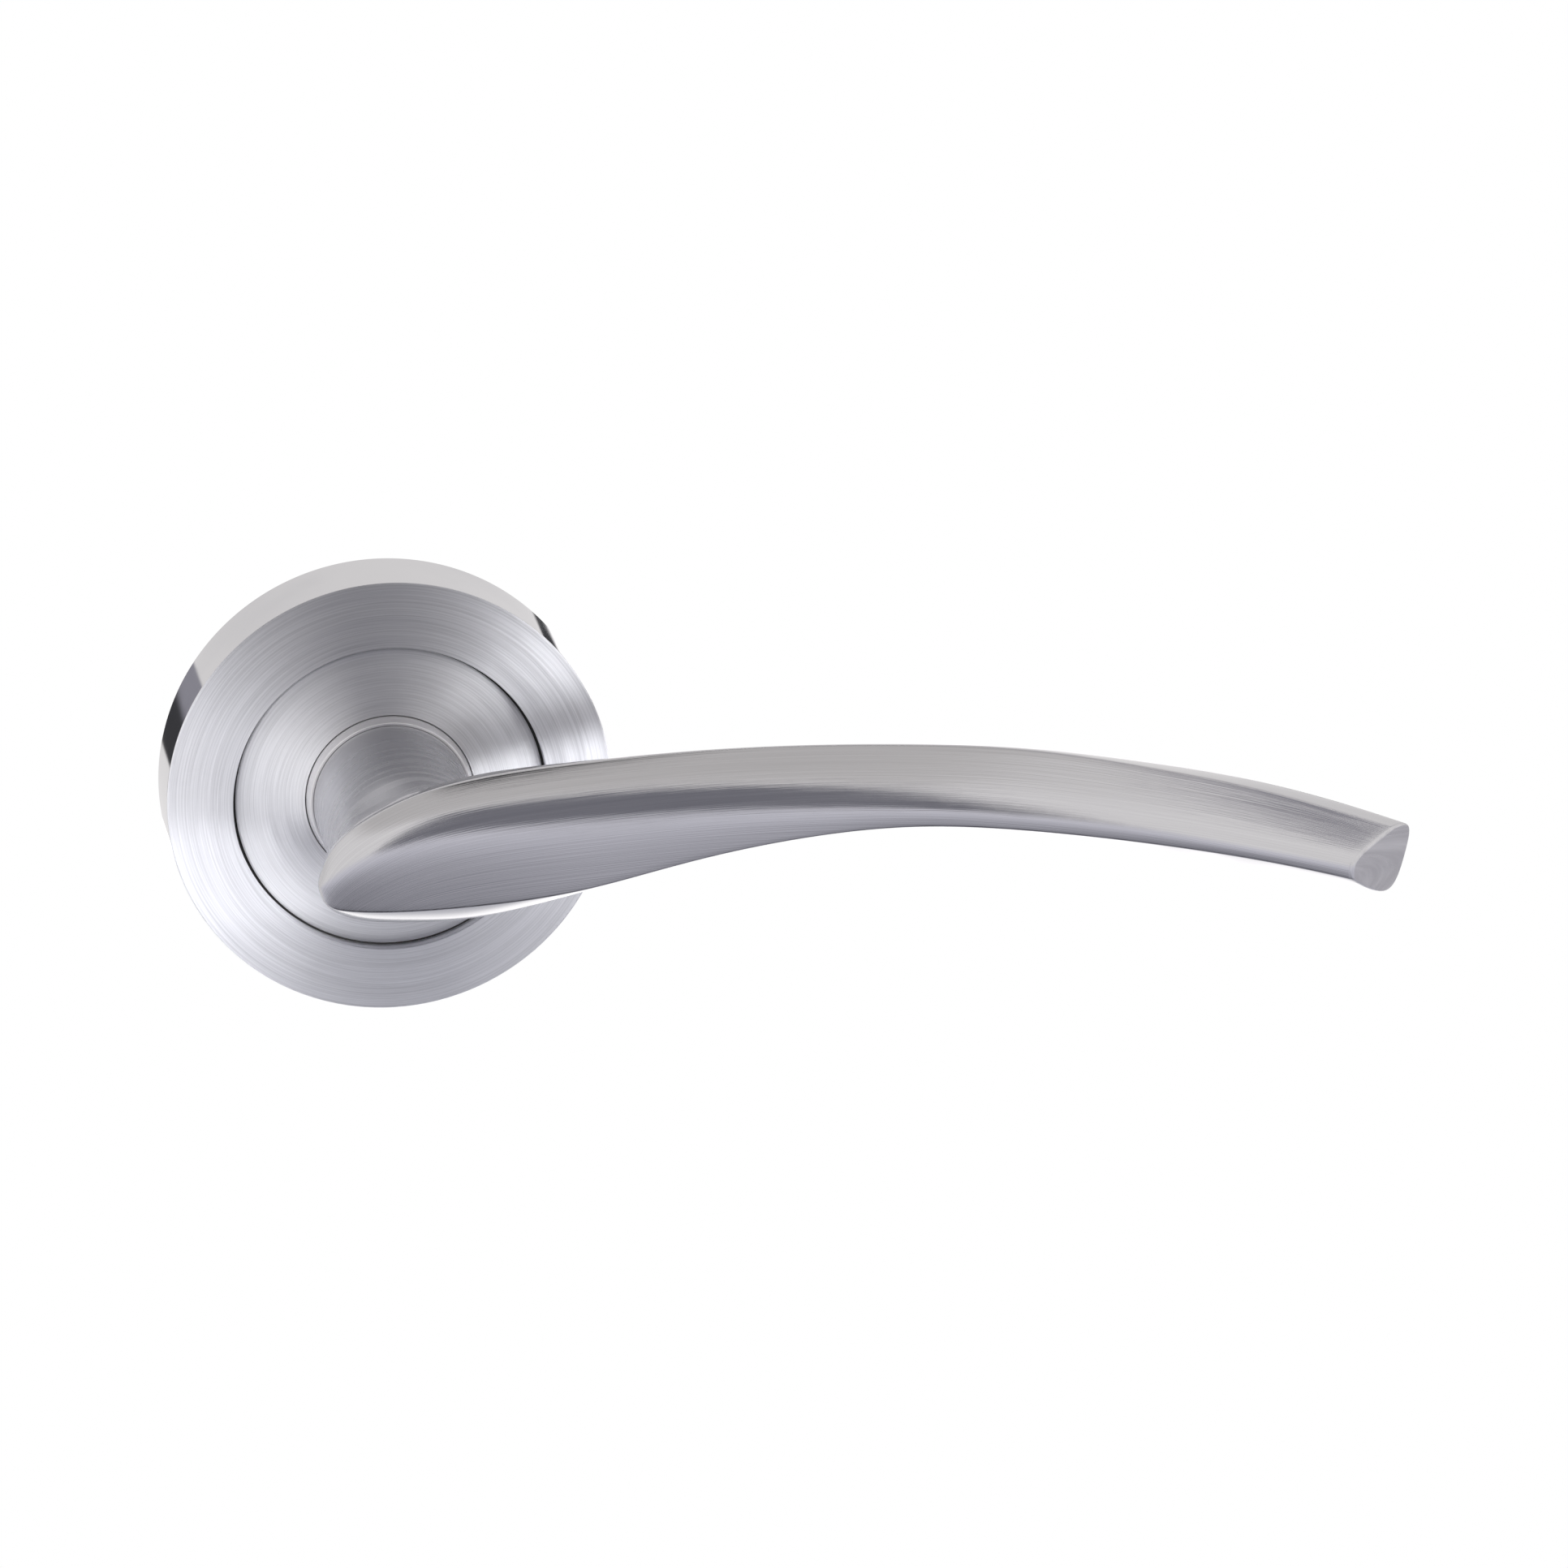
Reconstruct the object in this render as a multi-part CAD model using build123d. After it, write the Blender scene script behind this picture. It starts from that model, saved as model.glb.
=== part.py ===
"""Door lever handle on a round sprung rose, in millimetres.

Origin: centre of the rose's mounting face, on the spindle axis.
+Z is up, the lever reaches out along +X, and the handle stands out of the door along -Y.
The door is on the +Y side of the plane y = 0.
"""

from build123d import *
import math
import os

# Rose: a push-on cover, 53 mm across and 10 mm deep, with a separate inner disc
ROSE_R = 26.5
ROSE_BACK_R = 26.65
ROSE_DEPTH = 10.0
ROSE_CROWN = 0.8
COVER_BORE_R = 25.3
GROOVE_R = 18.75
DISC_R = 18.4
DISC_FRONT_Y = -9.65
DISC_BACK_Y = -9.0
LEDGE_R = 16.6
LEDGE_BACK_Y = -8.2

# Collar ring that the neck turns in
COLLAR_BORE_R = 9.4
COLLAR_R = 10.15
COLLAR_TIP_R = 9.65
COLLAR_FLANGE_R = 12.0
COLLAR_FOOT_Y = -9.4
COLLAR_FRONT_Y = -11.2

# Neck, and the hub turned on its inner end
NECK_R = 9.3
SHOULDER_Y = -8.65
HUB_R = 7.0
HUB_FLATS = 12.0
HUB_END_Y = 0.6
CLIP_GROOVE_R = 6.4
CLIP_GROOVE_Y = (-1.0, -0.1)
RUNNING_GAP = 0.05

# Mounting plate, and the snap ring that holds the cover on it
PLATE_R = 25.1
PLATE_FRONT_Y = -6.0
PLATE_FLOOR_Y = -1.6
PLATE_WELL = 30.0
PLATE_EYE_R = 10.5
SNAP_GROOVE_DEPTH = 0.8
SNAP_WIRE = 0.9
SNAP_Y = -4.6

# Spring cassette: a square box with a round chamber and two spring pockets
CASSETTE = 29.0
CASSETTE_CORNER_R = 4.0
CASSETTE_FLOOR_Y = -3.0
CASSETTE_RIM_Y = -7.3
LID_FRONT_Y = -8.0
BUSH_R = 8.6
ROTOR_R = 8.9
ROTOR_ARM_R = 12.3
ROTOR_ARM_WIDTH = 3.0
ROTOR_Y = (-6.9, -3.3)
CHAMBER_R = 12.9
SPRING_X = 11.0
SPRING_R = 1.9
SPRING_WIRE_R = 0.35
SPRING_TURNS = 6
SPRING_SEAT_Z = 12.9
SPRING_Y = -5.1
STOP_PIN_R = 1.0
STOP_CIRCLE_R = 10.8
LEVER_TRAVEL_DEG = 45.0
CASSETTE_SCREW_XZ = 12.2
CASSETTE_SCREW_R = 1.0
CASSETTE_SCREW_HEAD_R = 1.7

# Fixings through the door
POST_SPACING = 38.0
POST_R = 3.2
POST_TAPPING_R = 1.65
POST_REACH_Y = 8.0
WOOD_SCREW_SPACING = 41.0
WOOD_SCREW_HOLE_R = 2.1

# Spindle, and the grub screw that locks it in the neck
SPINDLE = 8.0
SPINDLE_SOCKET = 8.1
SPINDLE_Y = (-23.8, 48.0)
SOCKET_BOTTOM_Y = -24.0
GRUB_Y = -17.0
GRUB_R = 2.5
GRUB_LENGTH = 4.6

# Lever: sections across the arm, from the rounded head to beyond the cut end.
# Each row: x, then (y, z) of the top edge, of the front ridge and of the bottom edge,
# then the y of the back, and the z that the underside and the top wall have there.
LEVER_TIP_X = -11.55
LEVER_SECTIONS = (
    (-11.4, (-36.15, -0.55), (-36.9, -1.3), (-36.15, -2.2), -35.2, -2.6, -0.5),
    (-10.5, (-36.5, 2.0), (-38.2, 0.1), (-36.4, -3.8), -33.0, -5.2, 1.0),
    (-8.5, (-37.0, 4.7), (-39.6, 2.1), (-36.5, -4.6), -29.5, -8.6, 2.9),
    (-5.0, (-37.4, 7.2), (-40.8, 4.4), (-36.7, -4.9), -27.0, -11.2, 4.9),
    (0.0, (-37.5, 9.4), (-41.5, 6.2), (-36.8, -5.0), -26.2, -12.3, 7.0),
    (8.0, (-37.5, 11.15), (-42.0, 7.4), (-37.2, -4.6), -26.5, -12.2, 9.0),
    (20.0, (-37.5, 12.25), (-42.0, 8.1), (-38.0, -3.0), -28.8, -7.4, 10.1),
    (32.0, (-37.5, 12.8), (-42.0, 8.2), (-39.0, -0.05), -30.3, -2.4, 10.5),
    (45.0, (-37.5, 12.75), (-42.0, 7.7), (-40.0, 2.3), -31.0, 1.0, 10.4),
    (58.0, (-37.5, 12.1), (-42.0, 6.5), (-40.5, 3.0), -30.5, 0.5, 10.1),
    (72.0, (-37.3, 10.55), (-41.5, 4.4), (-40.2, 1.5), -29.5, -2.6, 9.2),
    (86.0, (-36.3, 7.35), (-40.5, 1.4), (-39.2, -1.2), -28.6, -6.2, 7.0),
    (100.0, (-34.5, 3.2), (-38.7, -2.6), (-37.5, -4.75), -27.8, -9.8, 3.9),
    (112.0, (-32.5, -1.4), (-36.7, -6.2), (-35.5, -8.6), -28.2, -12.8, 0.2),
    (124.0, (-30.2, -6.4), (-34.4, -10.9), (-33.2, -13.0), -28.6, -16.2, -4.6),
)
RIDGE_WEIGHT = 2.2
BACK_WEIGHT = 1.4
LOFT_STEPS = 20
END_POINT = (117.2, -31.6, -3.0)
END_NORMAL = (0.65, -0.74, -0.17)
NECK_TOP_Y = -36.3
NECK_END_ROUNDING = 1.2
NECK_UNDERSIDE_Y = -27.5
NECK_SLOPE_DEG = 25.5


def turned(*outline):
    """A solid of revolution about the spindle axis, from (radius, y) corners."""
    return revolve(make_face(Polyline(*outline, close=True)), Axis.Y, 360)


def washer(inner_r, outer_r, y_low, y_high):
    return turned((inner_r, y_low), (outer_r, y_low), (outer_r, y_high), (inner_r, y_high))


def disc(radius, y_low, y_high, x=0.0, z=0.0):
    """A plain cylinder along Y."""
    return Pos(x, (y_low + y_high) / 2, z) * Rot(90, 0, 0) * Cylinder(radius, y_high - y_low)


def block(size_x, size_z, y_low, y_high, x=0.0, z=0.0):
    return Pos(x, (y_low + y_high) / 2, z) * Box(size_x, y_high - y_low, size_z)


def square_block(side, y_low, y_high):
    """A square block on the spindle axis, with rounded corners."""
    return fillet(block(side, side, y_low, y_high).edges().filter_by(Axis.Y), CASSETTE_CORNER_R)


def smooth(x, column):
    """The value of one column of LEVER_SECTIONS at x.

    It follows a cubic, with slopes from the neighbours, over the square root of the
    distance from the tip. That makes the head's outline round at the tip.
    """
    rows = [(math.sqrt(row[0] - LEVER_TIP_X), column(row)) for row in LEVER_SECTIONS]
    place = math.sqrt(x - LEVER_TIP_X)
    last = len(rows) - 1
    i = max(k for k in range(last) if rows[k][0] <= place + 1e-9)

    def slope(k):
        before, after = rows[max(k - 1, 0)], rows[min(k + 1, last)]
        return (after[1] - before[1]) / (after[0] - before[0])

    width = rows[i + 1][0] - rows[i][0]
    t = (place - rows[i][0]) / width
    start = (1 + 2 * t) * (1 - t) ** 2 * rows[i][1] + t * (1 - t) ** 2 * width * slope(i)
    return start + t * t * (3 - 2 * t) * rows[i + 1][1] - t * t * (1 - t) * width * slope(i + 1)


def lever_section(x):
    """One closed section across the arm: front face, underside and back."""

    def point(y_column, z_column):
        return (x, smooth(x, y_column), smooth(x, z_column))

    top = point(lambda row: row[1][0], lambda row: row[1][1])
    ridge = point(lambda row: row[2][0], lambda row: row[2][1])
    bottom = point(lambda row: row[3][0], lambda row: row[3][1])
    under = point(lambda row: row[4], lambda row: row[5])
    wall = point(lambda row: row[4], lambda row: row[6])
    back = point(lambda row: row[4], lambda row: (row[5] + row[6]) / 2)
    return Wire(
        [
            Edge.make_bezier(top, ridge, bottom, weights=[1, RIDGE_WEIGHT, 1]),
            Edge.make_bezier(bottom, under, back, weights=[1, BACK_WEIGHT, 1]),
            Edge.make_bezier(back, wall, top, weights=[1, BACK_WEIGHT, 1]),
        ]
    )


def lever_arm():
    """Lofted through sections that lie closer together towards the rounded head."""
    tip = LEVER_SECTIONS[0][0]
    length = LEVER_SECTIONS[-1][0] - tip
    places = [tip + length * (i / LOFT_STEPS) ** 1.8 for i in range(LOFT_STEPS + 1)]
    arm = Solid.make_loft([lever_section(x) for x in places])
    beyond_end = Plane(origin=END_POINT, z_dir=END_NORMAL) * Pos(0, 0, 50) * Box(100, 100, 100)
    return arm - beyond_end


def neck():
    """The round neck, cut off below by a plane that the arm's underside carries on."""
    stem = disc(NECK_R, NECK_TOP_Y, SHOULDER_Y)
    stem = fillet(stem.edges().sort_by(Axis.Y)[0], NECK_END_ROUNDING)
    slope = Pos(0, NECK_UNDERSIDE_Y, -NECK_R) * Rot(-NECK_SLOPE_DEG, 0, 0)
    stem -= slope * Pos(0, -30, -20) * Box(60, 60, 40)
    hub = disc(HUB_R, SHOULDER_Y, HUB_END_Y)
    hub &= block(40, 40, SHOULDER_Y, ROTOR_Y[0]) + block(40, HUB_FLATS, ROTOR_Y[0], HUB_END_Y)
    return stem + hub


def lever_handle():
    body = lever_arm() + neck()
    body -= washer(CLIP_GROOVE_R, HUB_R + 1, *CLIP_GROOVE_Y)
    body -= block(SPINDLE_SOCKET, SPINDLE_SOCKET, SOCKET_BOTTOM_Y, HUB_END_Y + 1)
    body -= Pos(0, GRUB_Y, -NECK_R) * Cylinder(GRUB_R, 2 * (NECK_R - SPINDLE / 2))
    return body


def grub_screw():
    top = -SPINDLE / 2 - 0.02
    screw = Pos(0, GRUB_Y, top - GRUB_LENGTH / 2) * Cylinder(GRUB_R - 0.05, GRUB_LENGTH)
    key_well = extrude(RegularPolygon(1.25, 6, major_radius=False), 2.5)
    return screw - Pos(0, GRUB_Y, top - GRUB_LENGTH) * key_well


def spindle():
    bar = block(SPINDLE, SPINDLE, *SPINDLE_Y)
    return chamfer(bar.edges().filter_by(Axis.Y), 0.4)


def drive_rotor():
    """Turns with the hub: two arms push the springs, and a third meets the stop pins."""
    rotor = disc(ROTOR_R, *ROTOR_Y)
    reach = ROTOR_ARM_R - HUB_R
    middle = (ROTOR_ARM_R + HUB_R) / 2
    for side in (-1, 1):
        rotor += block(reach, ROTOR_ARM_WIDTH, *ROTOR_Y, x=side * middle)
    rotor += block(ROTOR_ARM_WIDTH, reach, *ROTOR_Y, z=middle)
    hole = disc(HUB_R + RUNNING_GAP, *ROTOR_Y)
    return rotor - (hole & block(40, HUB_FLATS + 2 * RUNNING_GAP, *ROTOR_Y))


def circlip():
    """An external snap ring, open below."""
    low, high = CLIP_GROOVE_Y
    ring = washer(CLIP_GROOVE_R + 0.02, HUB_R + 2.0, low + 0.04, high - 0.04)
    return ring - block(5, 20, low, high, z=-10)


def rose_cover():
    """The outer ring: rim wall, crowned face, and a ledge that the inner disc lies on."""
    crown_edge = (GROOVE_R + 0.15, -ROSE_DEPTH - ROSE_CROWN)
    crown_middle = ((ROSE_R + GROOVE_R) / 2, -ROSE_DEPTH - 0.62 * ROSE_CROWN)
    crown = ThreePointArc((ROSE_R, -ROSE_DEPTH), crown_middle, crown_edge)
    walls = Polyline(
        crown_edge,
        (GROOVE_R, crown_edge[1] + 0.15),
        (GROOVE_R, DISC_BACK_Y),
        (LEDGE_R, DISC_BACK_Y),
        (LEDGE_R, LEDGE_BACK_Y),
        (COVER_BORE_R, LEDGE_BACK_Y),
        (COVER_BORE_R, 0),
        (ROSE_BACK_R, 0),
        (ROSE_R, -ROSE_DEPTH),
    )
    return revolve(make_face(crown + walls), Axis.Y, 360)


def rose_disc():
    bore = COLLAR_R + 0.05
    edge = 0.3
    return turned(
        (bore, DISC_BACK_Y),
        (DISC_R, DISC_BACK_Y),
        (DISC_R, DISC_FRONT_Y + edge),
        (DISC_R - edge, DISC_FRONT_Y),
        (bore, DISC_FRONT_Y - 0.1),
    )


def neck_collar():
    return turned(
        (COLLAR_BORE_R, LEDGE_BACK_Y),
        (COLLAR_FLANGE_R, LEDGE_BACK_Y),
        (COLLAR_FLANGE_R, DISC_BACK_Y),
        (COLLAR_R, DISC_BACK_Y),
        (COLLAR_R, COLLAR_FOOT_Y),
        (COLLAR_TIP_R, COLLAR_FRONT_Y + 0.15),
        (COLLAR_TIP_R - 0.15, COLLAR_FRONT_Y),
        (COLLAR_BORE_R, COLLAR_FRONT_Y),
    )


def mounting_plate():
    """The cup behind the cover: screw holes, post holes and a square well for the cassette."""
    groove_floor_r = PLATE_R - SNAP_GROOVE_DEPTH
    groove_back = SNAP_Y + SNAP_WIRE / 2 + RUNNING_GAP
    groove_front = SNAP_Y - SNAP_WIRE / 2 - RUNNING_GAP
    cup = turned(
        (PLATE_EYE_R, 0),
        (PLATE_R, 0),
        (PLATE_R, groove_back),
        (groove_floor_r, groove_back),
        (groove_floor_r, groove_front),
        (PLATE_R, groove_front),
        (PLATE_R, PLATE_FRONT_Y),
        (PLATE_EYE_R, PLATE_FRONT_Y),
    )
    cup -= square_block(PLATE_WELL, PLATE_FRONT_Y - 1, PLATE_FLOOR_Y)
    for side in (-1, 1):
        cup -= disc(POST_R, PLATE_FRONT_Y - 1, 1, z=side * POST_SPACING / 2)
        cup -= disc(WOOD_SCREW_HOLE_R, PLATE_FRONT_Y - 1, 1, x=side * WOOD_SCREW_SPACING / 2)
        cup -= cassette_screw_hole(side, PLATE_FLOOR_Y, -0.4)
    return cup


def snap_ring():
    """A split ring of spring wire in the plate's groove, which grips the cover's bore."""
    low = SNAP_Y - SNAP_WIRE / 2
    high = SNAP_Y + SNAP_WIRE / 2
    ring = washer(PLATE_R - SNAP_GROOVE_DEPTH + RUNNING_GAP, COVER_BORE_R - 0.02, low, high)
    return ring - block(4, 4, low, high, z=PLATE_R)


def fixing_posts():
    """Two tapped posts, swaged into the plate, which reach into the door."""
    posts = []
    for side in (-1, 1):
        z = side * POST_SPACING / 2
        post = disc(POST_R, PLATE_FRONT_Y, POST_REACH_Y, z=z)
        posts.append(post - disc(POST_TAPPING_R, PLATE_FRONT_Y + 1.5, POST_REACH_Y, z=z))
    return Compound(children=posts)


def cassette_screw_hole(side, y_low, y_high):
    return disc(CASSETTE_SCREW_R, y_low, y_high, x=side * CASSETTE_SCREW_XZ, z=side * CASSETTE_SCREW_XZ)


def screw_head(side):
    """A countersunk head, flush with the lid."""
    cone = turned(
        (0, LID_FRONT_Y),
        (CASSETTE_SCREW_HEAD_R, LID_FRONT_Y),
        (CASSETTE_SCREW_R, CASSETTE_RIM_Y),
        (0, CASSETTE_RIM_Y),
    )
    return Pos(side * CASSETTE_SCREW_XZ, 0, side * CASSETTE_SCREW_XZ) * cone


def stop_places():
    """Centres of the two stop pins: beside the upper arm at rest, and where it is after the full travel."""
    clear = ROTOR_ARM_WIDTH / 2 + STOP_PIN_R + RUNNING_GAP
    travel = math.radians(LEVER_TRAVEL_DEG)
    sine, cosine = math.sin(travel), math.cos(travel)
    limit = (STOP_CIRCLE_R * sine + clear * cosine, STOP_CIRCLE_R * cosine - clear * sine)
    return ((-clear, STOP_CIRCLE_R), limit)


def cassette_body():
    body = square_block(CASSETTE, CASSETTE_RIM_Y, PLATE_FLOOR_Y)
    body -= disc(CHAMBER_R, CASSETTE_RIM_Y, CASSETTE_FLOOR_Y)
    body -= disc(BUSH_R, CASSETTE_FLOOR_Y, PLATE_FLOOR_Y)
    for side in (-1, 1):
        pocket_z = -side * SPRING_SEAT_Z / 2
        width = 2 * SPRING_R + 0.4
        body -= block(width, SPRING_SEAT_Z, CASSETTE_RIM_Y, CASSETTE_FLOOR_Y, x=side * SPRING_X, z=pocket_z)
        body -= cassette_screw_hole(side, CASSETTE_RIM_Y, PLATE_FLOOR_Y)
    for x, z in stop_places():
        body -= disc(STOP_PIN_R, CASSETTE_FLOOR_Y, CASSETTE_FLOOR_Y + 0.8, x=x, z=z)
    return body


def cassette_lid():
    lid = square_block(CASSETTE, LID_FRONT_Y, CASSETTE_RIM_Y) - disc(BUSH_R, LID_FRONT_Y, CASSETTE_RIM_Y)
    for side in (-1, 1):
        lid -= screw_head(side)
    return lid


def cassette_screws():
    """Two screws through the lid and the cassette into the plate's floor."""
    return Compound(
        children=[cassette_screw_hole(side, CASSETTE_RIM_Y, -0.4) + screw_head(side) for side in (-1, 1)]
    )


def stop_pins():
    return Compound(
        children=[disc(STOP_PIN_R, CASSETTE_RIM_Y + 0.2, CASSETTE_FLOOR_Y + 0.8, x=x, z=z) for x, z in stop_places()]
    )


def rear_bush():
    return washer(HUB_R + RUNNING_GAP, BUSH_R, CASSETTE_FLOOR_Y - 0.2, PLATE_FLOOR_Y)


def front_bush():
    return washer(HUB_R + RUNNING_GAP, BUSH_R, LID_FRONT_Y, CASSETTE_RIM_Y + 0.3)


def thrust_washer():
    return washer(HUB_R + RUNNING_GAP, NECK_R - 0.2, SHOULDER_Y + RUNNING_GAP, LID_FRONT_Y - RUNNING_GAP)


def retaining_washer():
    return washer(HUB_R + RUNNING_GAP, PLATE_EYE_R - 0.5, PLATE_FLOOR_Y + 0.1, CLIP_GROOVE_Y[0])


def return_spring(side):
    """A coil spring that stands below the right arm (side 1) or hangs above the left one (side -1)."""
    rest_z = ROTOR_ARM_WIDTH / 2 + 0.1 + SPRING_WIRE_R
    height = SPRING_SEAT_Z - SPRING_WIRE_R - rest_z - 0.02
    coil_r = SPRING_R - SPRING_WIRE_R
    path = Helix(height / SPRING_TURNS, height, coil_r)
    start = Plane(origin=path @ 0, z_dir=path % 0)
    coil = sweep(start * Circle(SPRING_WIRE_R), path=path, is_frenet=True)
    foot = rest_z if side < 0 else -(rest_z + height)
    return Pos(side * SPRING_X, SPRING_Y, foot) * coil


PARTS = {
    "lever_handle": lever_handle,
    "grub_screw": grub_screw,
    "spindle": spindle,
    "drive_rotor": drive_rotor,
    "thrust_washer": thrust_washer,
    "retaining_washer": retaining_washer,
    "circlip": circlip,
    "rose_cover": rose_cover,
    "rose_disc": rose_disc,
    "neck_collar": neck_collar,
    "mounting_plate": mounting_plate,
    "snap_ring": snap_ring,
    "fixing_posts": fixing_posts,
    "cassette_body": cassette_body,
    "cassette_lid": cassette_lid,
    "cassette_screws": cassette_screws,
    "stop_pins": stop_pins,
    "rear_bush": rear_bush,
    "front_bush": front_bush,
    "return_spring_right": lambda: return_spring(1),
    "return_spring_left": lambda: return_spring(-1),
}

os.makedirs("parts", exist_ok=True)
for node, make in PARTS.items():
    export_step(make(), f"parts/{node}.step")
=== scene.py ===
import math

import bpy
import numpy as np
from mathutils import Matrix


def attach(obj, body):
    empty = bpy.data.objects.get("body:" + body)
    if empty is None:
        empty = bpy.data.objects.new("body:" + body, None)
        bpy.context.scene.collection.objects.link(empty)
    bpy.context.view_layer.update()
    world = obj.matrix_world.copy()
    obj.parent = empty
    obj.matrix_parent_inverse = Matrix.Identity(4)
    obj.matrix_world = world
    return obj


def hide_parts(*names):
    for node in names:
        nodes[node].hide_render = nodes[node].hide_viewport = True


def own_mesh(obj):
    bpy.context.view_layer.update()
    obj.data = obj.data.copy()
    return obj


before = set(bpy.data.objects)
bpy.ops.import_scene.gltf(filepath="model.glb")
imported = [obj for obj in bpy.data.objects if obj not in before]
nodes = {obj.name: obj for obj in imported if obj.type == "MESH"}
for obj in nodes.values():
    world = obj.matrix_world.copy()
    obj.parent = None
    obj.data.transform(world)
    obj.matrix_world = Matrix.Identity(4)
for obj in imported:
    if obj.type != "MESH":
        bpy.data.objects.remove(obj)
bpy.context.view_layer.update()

# ---------------------------------------------------------------- camera
# A long lens, a little above the handle and to the left of it, aimed at the
# middle of the arm.
CAMERA_TARGET = np.array([0.0456, -0.0200, 0.0023])
CAMERA_DISTANCE = 0.80
CAMERA_AZIMUTH = math.radians(-10.10)
CAMERA_ELEVATION = math.radians(18.27)
CAMERA_LENS = 155.39

camera = bpy.data.objects.new("camera", bpy.data.cameras.new("camera"))
bpy.context.scene.collection.objects.link(camera)
towards_camera = np.array(
    [
        math.sin(CAMERA_AZIMUTH) * math.cos(CAMERA_ELEVATION),
        -math.cos(CAMERA_AZIMUTH) * math.cos(CAMERA_ELEVATION),
        math.sin(CAMERA_ELEVATION),
    ]
)
camera.location = CAMERA_TARGET + CAMERA_DISTANCE * towards_camera
camera.rotation_euler = (math.pi / 2 - CAMERA_ELEVATION, 0, CAMERA_AZIMUTH)
camera.data.lens = CAMERA_LENS
camera.data.sensor_width = 36
camera.data.clip_start = 0.01
bpy.context.scene.camera = camera

# ---------------------------------------------------------------- rose cover
# The outer ring of the rose. Pressed brass, satin chrome plated: the face is
# brushed in circles on a lathe and the rim wall is polished. It pushes onto
# the mounting plate and hides every screw.
MM = 0.001
ROSE_SIDES = 360
SHARP_FROM = math.radians(38)
ROSE_R = 26.5
ROSE_BACK_R = 26.65
ROSE_DEPTH = 10
ROSE_CROWN = 0.8
RING_INNER_R = 18.75
LEDGE_R = 16.6
COVER_BORE_R = 25.3
CROWN_BOW = 0.52
CROWN_INNER_INSET = 0.12
CROWN_OUTER_INSET = 0.25
DISC_BACK_Y = -9.0
LEDGE_BACK_Y = -8.2


def rounded(corners):
    """An outline in which each corner (radius, y, rounding) is a quadratic Bezier arc: it
    starts and ends `rounding` away from the corner along its two sides, and a point further
    back on each side keeps the flat next to it flat. The outline closes on itself."""
    corner = np.array([c[:2] for c in corners], float)
    rounding = np.array([c[2] for c in corners], float)[:, None]
    before = np.roll(corner, 1, 0) - corner
    after = np.roll(corner, -1, 0) - corner
    before /= np.linalg.norm(before, axis=1)[:, None]
    after /= np.linalg.norm(after, axis=1)[:, None]
    share = np.linspace(0, 1, 5)[:, None, None]
    start, end = corner + rounding * before, corner + rounding * after
    arc = (1 - share) ** 2 * start + 2 * share * (1 - share) * corner + share**2 * end
    support = 0.7 * rounding
    whole = np.concatenate([[start + support * before], arc, [end + support * after]])
    points = whole.transpose(1, 0, 2).reshape(-1, 2)
    apart = np.linalg.norm(points - np.roll(points, 1, 0), axis=1) > 1e-6
    return points[apart]


def link_mesh(name, points, faces):
    """Makes an object of points in metres and faces, turned outside out if its volume
    comes out negative, with hard shading only across sharp edges."""
    triangles = np.array([(f[0], f[k], f[k + 1]) for f in faces for k in range(1, len(f) - 1)])
    a, b, c = (points[triangles[:, k]] for k in range(3))
    if np.einsum("ij,ij->i", a, np.cross(b, c)).sum() < 0:
        faces = [face[::-1] for face in faces]
    mesh = bpy.data.meshes.new(name)
    mesh.from_pydata(points, [], faces)
    mesh.shade_smooth()
    mesh.set_sharp_from_angle(angle=SHARP_FROM)
    piece = bpy.data.objects.new(name, mesh)
    bpy.context.scene.collection.objects.link(piece)
    return piece


def quads(rows, columns, wrap_rows):
    """Four-sided faces over a grid whose last column joins its first, and whose last row
    joins its first if wrap_rows."""
    index = np.arange(rows * columns).reshape(rows, columns)
    index = np.hstack([index, index[:, :1]])
    if wrap_rows:
        index = np.vstack([index, index[:1]])
    corners = [index[:-1, :-1], index[:-1, 1:], index[1:, 1:], index[1:, :-1]]
    return np.stack(corners, -1).reshape(-1, 4)


def capped_tube(rows, columns):
    """Faces over a grid whose rows are closed rings, and a fan over each end. The fans'
    middles are the two points after the grid's own, the first row's before the last's."""
    ring = np.arange(columns)
    following = np.roll(ring, -1)
    first, last = rows * columns, (rows - 1) * columns
    start = np.stack([np.full(columns, first), following, ring], -1)
    end = np.stack([np.full(columns, first + 1), last + ring, last + following], -1)
    return quads(rows, columns, wrap_rows=False).tolist() + start.tolist() + end.tolist()


def lathe(name, outline):
    """A ring turned about the Y axis: each point (radius, y) of a closed outline goes round
    the circle, to (radius cos a, y, radius sin a)."""
    turn = np.linspace(0, 2 * math.pi, ROSE_SIDES, endpoint=False)
    radius, y = (outline * MM).T
    x, z = np.outer(radius, np.cos(turn)), np.outer(radius, np.sin(turn))
    around = np.stack([x, np.outer(y, np.ones(ROSE_SIDES)), z], -1)
    faces = quads(len(outline), ROSE_SIDES, wrap_rows=True)
    return link_mesh(name, around.reshape(-1, 3), faces.tolist())


def node(tree, kind, inputs=None, **settings):
    """Adds a shader node, sets its properties, and fills its inputs with values or links."""
    new = tree.nodes.new(kind)
    for name, value in settings.items():
        setattr(new, name, value)
    for socket, value in (inputs or {}).items():
        if isinstance(value, bpy.types.NodeSocket):
            tree.links.new(value, new.inputs[socket])
        else:
            new.inputs[socket].default_value = value
    return new


def maths(tree, operation, *values):
    """One sum on values or sockets."""
    return node(tree, "ShaderNodeMath", dict(enumerate(values)), operation=operation).outputs[0]


def split(tree, vector):
    """The X, Y and Z of a vector."""
    return node(tree, "ShaderNodeSeparateXYZ", {0: vector}).outputs


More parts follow.
